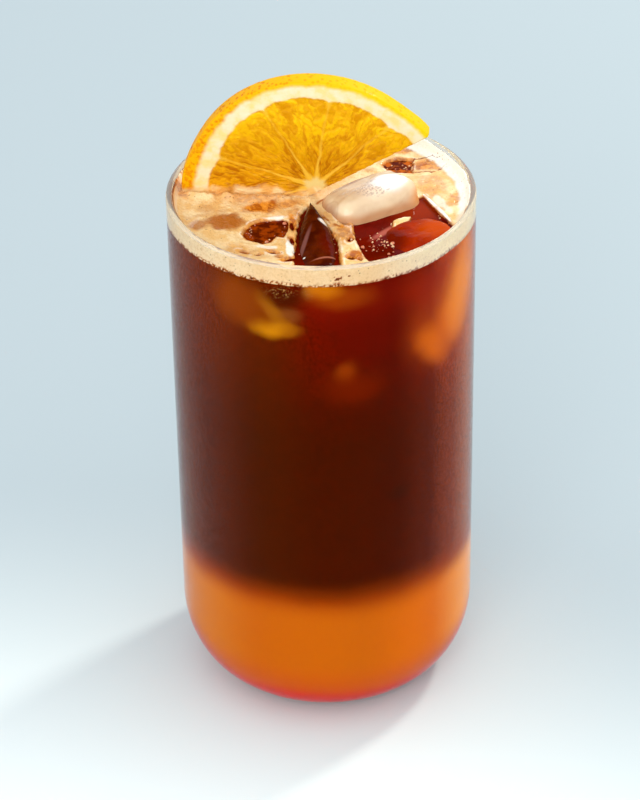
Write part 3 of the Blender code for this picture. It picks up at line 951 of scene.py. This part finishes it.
# Wedge along a spine: sections with a sharp crest, narrowing to a point at the back.
def wedgeForm():
    w = wedge
    s = np.linspace(0, 1, w["rows"])[1:-1, None]
    a = np.linspace(0, 2 * np.pi, w["columns"], endpoint=False)[None, :]
    width = w["halfWidth"] * (1 - s ** 2.6) ** 0.85
    width = width * (0.86 + 0.14 * rise(s, 0.0, 0.12)) * rise(s, -0.06, 0.05)
    top = w["nose"] + (w["crest"] - w["nose"]) * rise(s, 0.0, 0.62) - rise(s, 0.80, 1.0)
    middle, across, up = w["middle"], np.cos(a), np.sin(a)
    above = middle + (top - middle) * np.abs(up) ** 0.95 * np.sign(up)
    below = middle + (middle - w["low"]) * np.sign(up) * np.abs(up) ** 0.5 * (1 - 0.75 * s)
    height = np.where(up >= 0, above, below)
    side = np.sign(across) * np.abs(across) ** 0.9 + w["lean"] * np.clip(up, 0, 1)
    f, b = np.array(w["front"]), np.array(w["back"])
    x = f[0] + (b[0] - f[0]) * s + width * side
    y = f[1] + (b[1] - f[1]) * s + 0 * a
    melt = 0.22 * layeredNoise(x / 3.0 + 40, y / 3.0 + height / 2.5, 83, 3)
    points = np.stack([x + melt, y, height + 0.6 * melt], -1).reshape(-1, 3)
    ends = [[f[0], f[1] - 0.3, middle], [b[0], b[1] + 0.3, w["tip"]]]
    return np.concatenate([points, ends])


# Wet ice that shows the dark drink through it, in two tones; each patch has a centre, half sizes,
# a turn, a softness and a colour, laid in order; patches carry painted glows, reflections and glints.
def wetIce(name, dark, warm, patches=()):
    material, tree, shader = newMaterial(name, Roughness=0.06, Specular_IOR_Level=0.025)
    place, *_ = objectPlace(tree)
    base = mottled(tree, place, 5.0, 0.40, 0.62, dark, warm, 3.0, 0.5, 0.6)
    for centre, size, turn, soft, tint in patches:
        base = mixColours(tree, patchFactor(tree, place, centre, size, turn, 0, soft), base, tint)
    feed(tree, base, shader.inputs["Base Color"])
    bumpOn(tree, shader, grain(tree, place, 2.8), 0.6, 0.4)
    return material


# The pale block: milky ice lit by the foam, a frosted white patch that is also a painted highlight, painted
# shade at its foot, dark specks, a thin clear end.
def paleIce():
    material, tree, shader = newMaterial("paleIce", Specular_IOR_Level=0.3)
    place, _, _, z = objectPlace(tree)
    base = mottled(tree, place, 7.0, 0.35, 0.7, colour(226, 202, 166), colour(212, 184, 150))
    # painted shade towards the block's foot
    low = remapPlace(tree, z, 141.5, 144.0, 1.0, 0.0)
    base = mixColours(tree, times(tree, low, 0.75), base, colour(186, 122, 72))
    end = patchFactor(tree, place, (23.6, 2.6, 142.5), (5.6, 6.5, 4.6), 20, 0, 0.8)
    base = mixColours(tree, end, base, colour(222, 150, 84))
    clear = patchFactor(tree, place, (1.0, -7.5, 143.0), (4.4, 4.2, 6.0), 30, 0, 0.5)
    base = mixColours(tree, times(tree, clear, 0.45), base, colour(186, 146, 120))
    outline = times(tree, remap(tree, clear, 0.15, 0.30), remap(tree, clear, 0.38, 0.6, 1.0, 0.0))
    base = mixColours(tree, times(tree, outline, 0.14), base, colour(142, 88, 62))
    brow = patchFactor(tree, place, (9.0, 3.9, 144.8), (10.5, 1.3, 3.4), 36, 0, 0.9)
    base = mixColours(tree, times(tree, brow, 0.75), base, colour(150, 96, 58))
    # frost on the top with a painted highlight, and a paler haze round it from the same painted highlight
    frostAndHighlight = patchFactor(tree, place, (17.4, 0.4, 147.0), (7.8, 6.2, 7.0), 32, 0, 0.85)
    haze = patchFactor(tree, place, (14.2, -1.8, 146.6), (9.0, 5.6, 7.0), 32, 0, 0.85)
    base = mixColours(tree, times(tree, haze, 0.7), base, colour(232, 220, 208))
    base = mixColours(tree, remap(tree, frostAndHighlight, 0.12, 0.75), base, colour(253, 253, 253))
    crumbs = remap(tree, grain(tree, place, 0.6, 3.0, 0.7), 0.43, 0.52, 1.0, 0.0)
    rim = times(tree, remap(tree, haze, 0.15, 0.5), remap(tree, frostAndHighlight, 0.35, 0.75, 1.0, 0.0))
    base = mixColours(tree, times(tree, times(tree, crumbs, rim), 0.6), base, colour(150, 128, 122))
    feed(tree, base, shader.inputs["Base Color"])
    feed(tree, remap(tree, frostAndHighlight, 0.0, 1.0, 0.15, 0.45), shader.inputs["Roughness"])
    bumpOn(tree, shader, grain(tree, place, 3.2), 0.6, 0.35)
    return material


# Draws points in towards the axis where they would come within half a millimetre of the wall.
def keptInside(points):
    r = np.hypot(points[:, 0], points[:, 1])
    most = innerRadius(points[:, 2]) - 0.5
    return points * np.stack([np.minimum(1, most / r)] * 2 + [np.ones(len(r))], -1)


# The blocks and the wedge, each in a finish of its own.
def buildIce():
    glint = colour(255, 252, 246)
    looks = {
        "iceMiddle": paleIce(),
        "iceLeft": wetIce("amberIce", colour(84, 18, 1), colour(124, 40, 2)),
        # the red ice: its first patch is a painted orange glow of light through the ice
        "iceRight": wetIce("redWetIce", colour(140, 30, 1), colour(156, 40, 2), [
            ((30.4, -14.2, 141.5), (10.0, 8.0, 6.0), 40, 0.8, colour(186, 66, 3)),
            ((17.0, -20.0, 141.5), (6.0, 7.5, 6.0), 0, 0.6, colour(102, 16, 2))]),
        "iceBack": wetIce("toffeeIce", colour(96, 26, 1), colour(196, 98, 22)),
    }
    for key, facts in iceBlocks.items():
        block = putMesh(key, keptInside(iceForm(facts)) * mm, *ringFaces(blockRows - 2, blockColumns))
        dress(block, looks[key], "ice_look", facts["node"])
    front = putMesh("iceFront", keptInside(wedgeForm()) * mm, *ringFaces(wedge["rows"] - 2, wedge["columns"]))
    faceOutwards(front)
    # the dark wedge: dark red patches, painted reflection streaks, a painted bright line on its right edge
    # and two painted glints
    look = wetIce("darkWetIce", colour(60, 7, 1), colour(86, 24, 2), [
        ((1.6, -22.0, 141.0), (4.0, 8.0, 6.0), 6, 0.8, colour(92, 12, 2)),
        ((-4.6, -22.6, 141.5), (9.6, 0.9, 6.0), 75, 0.6, colour(120, 72, 66)),
        ((0.8, -29.0, 141.0), (4.6, 0.5, 6.0), 20, 0.6, colour(150, 84, 64)),
        ((2.9, -17.0, 141.5), (4.5, 0.5, 6.0), -62, 0.6, colour(180, 70, 40)),
        ((0.3, -13.2, 142.4), (2.0, 1.3, 3.0), -50, 0.5, glint),
        ((-4.6, -27.8, 141.2), (0.5, 0.4, 1.0), 0, 0.5, glint)])
    dress(front, look, "ice_look", "ice_front")
    print("ice made")


# route seen from above, height, rise along it, and how thick it is
iceEdge = {
    "route": [(26.4, 3.0), (28.0, -0.5), (29.9, -4.7), (31.8, -8.9), (33.0, -11.9)],
    "side": (0.92, 0.40), "level": 141.4, "rises": 0.25, "thin": 0.16, "thick": 0.34,
    "steps": 60, "around": 14,
}


# The thin bright edge of a sunk sheet: an oval profile along a line, thickest in the middle; its white is
# partly a painted highlight and its darker lower side painted shade.
def buildIceEdge():
    e = iceEdge
    route = np.array(e["route"])
    share = np.linspace(0, 1, e["steps"])
    knots = np.linspace(0, 1, len(route))
    spine = np.stack([np.interp(share, knots, route[:, k]) for k in (0, 1)], -1)
    a = np.linspace(0, 2 * np.pi, e["around"], endpoint=False)
    thick = (e["thin"] + e["thick"] * np.sin(np.pi * share) ** 0.5)[:, None]
    ring = np.stack([
        spine[:, None, 0] + thick * np.cos(a) * e["side"][0],
        spine[:, None, 1] + thick * np.cos(a) * e["side"][1],
        e["level"] + 0.7 * thick * np.sin(a) + e["rises"] * share[:, None]], -1)
    points = np.concatenate([ring.reshape(-1, 3), [ring[0].mean(0)], [ring[-1].mean(0)]])
    edge = putMesh("iceEdge", points * mm, *ringFaces(e["steps"], e["around"]))
    faceOutwards(edge)
    material, tree, shader = newMaterial("brightIceEdge", Roughness=0.1, Specular_IOR_Level=0.5)
    place, _, _, z = objectPlace(tree)
    # pale wet ice, its white partly a painted highlight, with painted shade on its lower side
    shade = mottled(tree, place, 3.0, 0.4, 0.6, colour(255, 246, 232), colour(230, 196, 176), 2.0)
    shade = mixColours(tree, remapPlace(tree, z, 141.25, 141.5), colour(110, 50, 44), shade)
    feed(tree, shade, shader.inputs["Base Color"])
    dress(edge, material, "ice_look")
    print("ice edge made")


# lengths in millimetres, angles in degrees about the core; the pith lies further in at the left
orange = {
    "centre": (-1.5, 2.0, 145.0), "radius": 32.5, "leftFlare": 2.6, "rightFlare": 1.4, "meanRadius": 32.9,
    "thickness": 4.5, "cutDrop": 2.0, "cutAngle": 33.0, "lean": 8.0, "turn": -5.5,
    "flesh": 27.9, "fleshLeft": 25.9, "pith": 31.6, "pithLeft": 29.5, "faceShare": 0.985,
    "membranes": (45.0, 81.0, 118.0, 162.0, 200.0), "firstSegment": 20.0, "lastSegment": 236.0,
    "around": 330, "across": 118, "skinSteps": 13, "cutSteps": 6,
}
fruitKeys = ("flesh", "rind", "membrane", "core", "cell", "fine", "tone")


# Angle about the core in degrees, from -90 to 270, so that it doesn't jump within the slice.
def sliceAngle(x, y):
    angle = np.degrees(np.arctan2(y, x))
    return np.where(angle < -90, angle + 360, angle)


# Radius of the slice by angle, a little wider at both ends.
def sliceRadius(angle):
    o = orange
    return o["radius"] + o["leftFlare"] * bell(angle, 188.0, 22.0) + o["rightFlare"] * bell(angle, 28.0, 12.0)


# Distance from the middle of the cut to the skin along a direction, by a few corrections.
def reachFromCut(direction, foot):
    reach = np.full(direction.shape, orange["radius"])
    for _ in range(12):
        x, y = foot[0] + reach * np.cos(direction), foot[1] + reach * np.sin(direction)
        reach = reach + sliceRadius(sliceAngle(x, y)) - np.hypot(x, y)
    return reach


# What the fruit is at a point of its face: masks and tones by radius and angle about the core.
def fruitFacts(x, y, seed=0):
    o = orange
    r, angle = np.hypot(x, y), sliceAngle(x, y)
    scale = sliceRadius(angle) / o["meanRadius"]
    wobble = 1.1 * layeredNoise(r / 6.0, angle / 14.0, 101 + seed, 3)
    away = np.full(r.shape, 99.0)
    for line in o["membranes"]:
        off = r * np.sin(np.radians(np.clip(angle - line, -80, 80)))
        away = np.minimum(away, np.abs(off + wobble * 0.6))
    edges = np.array([o["firstSegment"], *o["membranes"], o["lastSegment"]])
    k = np.clip(np.searchsorted(edges, angle) - 1, 0, len(edges) - 2)
    share = np.clip((angle - edges[k]) / (edges[k + 1] - edges[k]), 0, 1)
    bulge = np.sin(np.pi * share) ** 0.35
    ragged = 0.35 * layeredNoise(angle / 5.0, r * 0 + 2, 111 + seed, 3)
    leftward = rise(angle, 105.0, 175.0)
    fleshMost = o["flesh"] + (o["fleshLeft"] - o["flesh"]) * leftward
    pithMost = o["pith"] + (o["pithLeft"] - o["pith"]) * leftward
    fleshEdge = (fleshMost - 1.0 + 1.25 * bulge + ragged) * scale
    pithEdge = (pithMost + 0.45 * layeredNoise(angle / 4.0, r * 0 + 5, 121 + seed, 4)) * scale
    flesh = 1 - rise(r, fleshEdge - 0.3, fleshEdge + 0.3)
    rind = rise(r, pithEdge - 0.6, pithEdge + 0.8)
    thin = 0.22 + 0.5 * rise(r, fleshEdge - 3.5, fleshEdge) ** 2 + 0.5 * (1 - rise(r, 2.0, 7.0))
    faint = 0.40 + 0.60 * (1 - rise(r, 6.0, 17.0)) + 0.35 * rise(r, fleshEdge - 3.0, fleshEdge)
    membrane = (1 - rise(away, thin * 0.45, thin * 1.9)) * flesh * np.minimum(faint, 1)
    star = 2.3 + 0.9 * layeredNoise(angle / 18.0, r * 0, 131 + seed, 2)
    core = 1 - rise(r, star - 0.5, star + 0.9)
    bend = 2.4 * layeredNoise(r / 6.0, angle / 13.0, 141 + seed, 4)
    u = angle / 6.8 + bend + 1.6 * rise(r, 4, 26) * np.sin(angle / 9.0)
    v = r / 3.9 + 1.6 * layeredNoise(angle / 8.0, r / 7.0, 151 + seed, 3)
    border, tone = cellNoise(u, v, 161 + seed)
    fineBorder, fineTone = cellNoise(u * 2.3 + 4, v * 1.9 + 8, 171 + seed)
    return {
        "flesh": flesh, "rind": rind, "membrane": np.maximum(membrane, core * flesh), "core": core,
        "cell": rise(border, 0.02, 0.42), "fine": rise(fineBorder, 0.02, 0.5),
        "tone": 0.6 * tone + 0.4 * fineTone,
    }


# Relief of the face in millimetres, outwards: raised threads, plump vesicles, a soft pith.
def fruitRelief(facts, x, y):
    plump = 0.22 * facts["cell"] * (0.4 + facts["tone"]) + 0.10 * facts["fine"]
    flesh = (plump - 0.25) * (1 - facts["membrane"]) + 0.12 * facts["membrane"]
    pith = 0.05 + 0.05 * layeredNoise(x / 0.9, y / 0.9, 181, 2)
    return facts["flesh"] * flesh + (1 - facts["flesh"]) * pith


# Flesh, pith, rind and dotted skin by the values stored on the mesh, and a film of foam at the foot.
def fruitMaterial():
    material, tree, shader = newMaterial(
        "orangeFruit", Specular_IOR_Level=0.06, Coat_Weight=0.02, Coat_Roughness=0.12)
    place, x, _, z = objectPlace(tree)
    side, high = remapPlace(tree, x, -34.0, 28.0), remapPlace(tree, z, 148.0, 167.0)
    deep = mixColours(tree, high, colour(174, 100, 1), colour(206, 136, 3))
    bright = mixColours(tree, high, colour(218, 152, 5), colour(240, 188, 12))
    tone = times(tree, stored(tree, "tone"), 0.7)
    tone = maths(tree, "ADD", tone, times(tree, grain(tree, place, 1.6), 0.35))
    flesh = mixColours(tree, remap(tree, tone, 0.25, 0.8), deep, bright)
    line = times(tree, maths(tree, "SUBTRACT", 1.0, stored(tree, "cell")), 0.55)
    flesh = mixColours(tree, line, flesh, colour(226, 160, 18))
    flesh = mixColours(tree, stored(tree, "membrane"), flesh, colour(230, 178, 52))
    flesh = mixColours(tree, stored(tree, "core"), flesh, colour(226, 198, 124))
    pith = mottled(tree, place, 3.0, 0.35, 0.7, colour(232, 216, 178), colour(228, 206, 132))
    # rind and skin yellower towards the right: painted sunlight from the back right
    rind = mixColours(tree, side, colour(226, 168, 2), colour(224, 194, 14))
    blush = remap(tree, grain(tree, place, 1.2, 3.0, 0.6), 0.46, 0.60)
    blush = times(tree, blush, remapPlace(tree, x, -32.0, -12.0, 0.75, 0.0))
    rind = mixColours(tree, blush, rind, colour(216, 122, 2))
    skin = mixColours(tree, side, colour(234, 162, 0), colour(226, 190, 5))
    pores = scattered(tree, place, 1.3)
    dotted = times(
        tree, remap(tree, pores, 0.15, 0.45, 1.0, 0.0), remapPlace(tree, x, -30.0, 10.0, 0.85, 0.22))
    skin = mixColours(tree, dotted, skin, colour(212, 104, 1))
    rind = mixColours(tree, times(tree, dotted, 0.7), rind, colour(212, 112, 1))
    base = mixColours(tree, stored(tree, "flesh"), pith, flesh)
    base = mixColours(tree, stored(tree, "rind"), base, rind)
    base = mixColours(tree, stored(tree, "skin"), base, skin)
    uneven = times(tree, maths(tree, "SUBTRACT", grain(tree, place, 6.0, 2.0), 0.5), 8.0 * mm)
    film = remapPlace(tree, maths(tree, "ADD", z, uneven), 142.4, 144.4, 0.8, 0.0)
    cream = mottled(tree, place, 4.0, 0.42, 0.62, colour(247, 220, 168), colour(232, 178, 104), 2.0)
    feed(tree, mixColours(tree, film, base, cream), shader.inputs["Base Color"])
    feed(tree, remap(tree, stored(tree, "flesh"), 0.0, 1.0, 0.5, 0.3), shader.inputs["Roughness"])
    pits = times(tree, remap(tree, pores, 0.0, 0.5), stored(tree, "skin"))
    bumpOn(tree, shader, maths(tree, "ADD", pits, times(tree, grain(tree, place, 0.7), 0.5)), 0.3, 0.5)
    return material


# One face of the slice from the cut's middle out to the skin: relief on a flat sheet.
def sliceFace(foot, direction, reach, front):
    o = orange
    share = np.sin(np.linspace(0, np.pi / 2, o["across"])) ** 0.9
    share[0] = 0.0
    x = foot[0] + np.outer(share, reach * np.cos(direction) * o["faceShare"])
    y = foot[1] + np.outer(share, reach * np.sin(direction) * o["faceShare"])
    facts = fruitFacts(x, y, 0 if front else 40)
    lift = fruitRelief(facts, x, y) * rise(share[:, None] + 0 * x, 0.0, 0.02)
    lift = lift * (1 - rise(share, o["faceShare"], 1.0)[:, None])
    depth = -lift if front else o["thickness"] + lift
    return np.stack([x, depth, y], -1), {**{key: facts[key] for key in fruitKeys}, "skin": np.zeros(x.shape)}


# The rounded skin between the two faces, pitted by noise.
def sliceSkin(foot, direction, reach):
    o = orange
    turn = np.pi * np.linspace(0, 1, o["skinSteps"])[1:-1]
    half = o["thickness"] / 2
    out = o["faceShare"] + (1 - o["faceShare"]) * np.sin(turn) ** 0.6
    x = foot[0] + np.outer(out, reach * np.cos(direction))
    y = foot[1] + np.outer(out, reach * np.sin(direction))
    depth = -half * np.cos(turn)[:, None] * np.ones_like(x)
    pit = 0.05 * layeredNoise(direction[None, :] * 40, depth * 1.4, 191, 3)
    x, y = x + pit * np.cos(direction), y + pit * np.sin(direction)
    facts = {key: np.zeros(x.shape) for key in fruitKeys}
    facts["rind"] = np.ones(x.shape)
    facts["skin"] = rise(np.sin(turn)[:, None] + 0 * x, 0.15, 0.6)
    return np.stack([x, depth + half, y], -1), facts


# Half slice as one closed skin: front face, rounded skin, back face, and the flat cut between them.
def buildSlice():
    o = orange
    cut = math.radians(o["cutAngle"])
    foot = np.array([o["cutDrop"] * math.sin(cut), -o["cutDrop"] * math.cos(cut)])
    direction = np.linspace(cut, cut + math.pi, o["around"])
    reach = reachFromCut(direction, foot)
    back, backFacts = sliceFace(foot, direction, reach, False)
    sheets = [
        sliceFace(foot, direction, reach, True), sliceSkin(foot, direction, reach),
        (back[::-1], {key: numbers[::-1] for key, numbers in backFacts.items()})]
    grid = np.concatenate([sheet for sheet, _ in sheets])
    numbers = {key: np.concatenate([facts[key] for _, facts in sheets]).ravel() for key in backFacts}
    count, around = grid.shape[:2]
    quads, points, m, ties = gridQuads(count, around), grid.reshape(-1, 3), o["across"], o["cutSteps"]
    # the flat cut: lines through the thickness at both ends of the grid
    for column, flip in ((0, True), (around - 1, False)):
        t = np.linspace(0, 1, ties)[None, :, None]
        sheet = grid[:m, column][:, None] * (1 - t) + grid[::-1][:m, column][:, None] * t
        quads = np.concatenate([quads, gridQuads(m, ties, flip=flip, first=len(points))])
        points = np.concatenate([points, sheet.reshape(-1, 3)])
        facts = fruitFacts(sheet[..., 0], sheet[..., 2])
        facts["skin"] = np.zeros(sheet.shape[:2])
        numbers = {key: np.concatenate([numbers[key], facts[key].ravel()]) for key in numbers}
    points = points @ turned((o["lean"], 0, o["turn"])).T + np.array(o["centre"])
    fruit = putMesh("orangeSlice", points * mm, quads, None, numbers)
    faceOutwards(fruit, joinWithin=0.02 * mm)
    dress(fruit, fruitMaterial(), "orange_look", "orange_slice")
    print("orange slice made")


# lengths in metres, apart from the painted pool of light on the floor in millimetres
studio = {
    "floor": colour(171, 183, 189), "near": colour(248, 255, 253), "wide": 6.0,
    "paintedLightPool": ((-60.0, -190.0, 0.0), (350.0, 270.0, 100.0), -20, 0, 0.8),
    "sky": (0.92, 0.968, 1.0, 1), "skyStrength": 1.12, "aim": (0, 0, 0.1),
    "lights": {
        "keyLight": {"place": (0.62, 0.58, 0.84), "size": 0.16, "power": 6.3, "tint": (1.0, 0.965, 0.87)},
        "fillLight": {"place": (-0.20, -0.95, 0.45), "size": 0.7, "power": 6.0, "tint": (1.0, 0.99, 0.97)},
    },
}
view = {
    "elevation": 32.6, "roll": -0.95, "distance": 0.935, "target": (-0.00115, 0.0, 0.0807),
    "lens": 157.5, "sensor": 36.0, "farEnd": 20.0,
}


# Puts a light or a camera at a place, with its right, up and back directions.
def putAt(name, data, where, right, up, back):
    item = bpy.data.objects.new(name, data)
    bpy.context.scene.collection.objects.link(item)
    matrix = np.eye(4)
    matrix[:3, 0], matrix[:3, 1], matrix[:3, 2], matrix[:3, 3] = right, up, back, where
    item.matrix_world = Matrix(matrix.tolist())
    return item


# A round light that looks at the drink.
def addLight(name, facts):
    lamp = bpy.data.lights.new(name, "AREA")
    lamp.shape, lamp.size = "DISK", facts["size"]
    lamp.energy, lamp.color = facts["power"], facts["tint"]
    where = np.array(facts["place"])
    back = where - np.array(studio["aim"])
    back /= np.linalg.norm(back)
    right = np.cross([0, 0, 1.0], back)
    right /= np.linalg.norm(right)
    putAt(name, lamp, where, right, np.cross(back, right), back)


# A plain pale floor with a painted pool of light in front, under a pale sky and two lights.
def buildStudio():
    s = studio
    world = bpy.data.worlds.new("studio")
    bpy.context.scene.world = world
    world.use_nodes = True
    sky = world.node_tree.nodes["Background"]
    sky.inputs["Color"].default_value = s["sky"]
    sky.inputs["Strength"].default_value = s["skyStrength"]
    w = s["wide"]
    floor = putMesh("floor", [(-w, -w, 0), (w, -w, 0), (w, w, 0), (-w, w, 0)], [(0, 1, 2, 3)], smooth=False)
    material, tree, shader = newMaterial("paleFloor", Roughness=0.9, Specular_IOR_Level=0.1)
    where, *_ = objectPlace(tree)
    # a painted pool of light on the floor in front
    tint = mixColours(tree, patchFactor(tree, where, *s["paintedLightPool"]), s["floor"], s["near"])
    feed(tree, tint, shader.inputs["Base Color"])
    floor.data.materials.append(material)
    for name, facts in s["lights"].items():
        addLight(name, facts)
    bpy.context.scene.view_settings.view_transform = "Standard"


# Camera from its height angle and distance about a target, with a slight roll.
def buildCamera():
    v = view
    elevation, roll = math.radians(v["elevation"]), math.radians(v["roll"])
    back = np.array([0, -math.cos(elevation), math.sin(elevation)])
    right = np.array([1.0, 0, 0])
    up = np.cross(right, -back)
    rolledRight = math.cos(roll) * right + math.sin(roll) * up
    rolledUp = -math.sin(roll) * right + math.cos(roll) * up
    lens = bpy.data.cameras.new("camera")
    lens.lens, lens.sensor_width, lens.clip_end = v["lens"], v["sensor"], v["farEnd"]
    where = np.array(v["target"]) + back * v["distance"]
    bpy.context.scene.camera = putAt("camera", lens, where, rolledRight, rolledUp, back)


buildCamera()
buildStudio()
buildGlass()
buildJuice()
buildCoffee()
buildOpenCoffee()
buildFoam()
buildBubbles()
buildIce()
buildIceEdge()
buildSlice()
